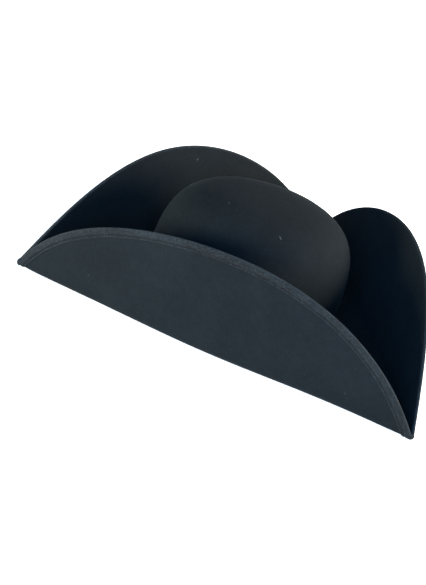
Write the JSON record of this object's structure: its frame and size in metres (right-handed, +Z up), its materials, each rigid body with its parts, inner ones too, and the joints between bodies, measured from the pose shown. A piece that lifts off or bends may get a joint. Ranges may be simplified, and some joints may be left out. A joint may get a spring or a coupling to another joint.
{
  "type": "tricorn hat",
  "caption": "Three-cornered hat of plain black felt: round crown, wide brim turned up in flaps, edge turned under and stitched.",
  "frame": {"origin": "middle of the hat's outline seen from above, on the surface that it stands on", "axes": "+Z up through the crown, -Y towards the front corner, +X towards the wearer's left"},
  "size_m": [0.3958, 0.388, 0.1222],
  "materials": {
    "felt": "matt wool felt, nearly black, with a short soft nap",
    "hem_felt": "the same felt's rougher side, turned over the edge, a little lighter"
  },
  "bodies": {
    "root": {"felt_body": "felt", "turned_hem": "hem_felt"}
  },
  "joints": []
}
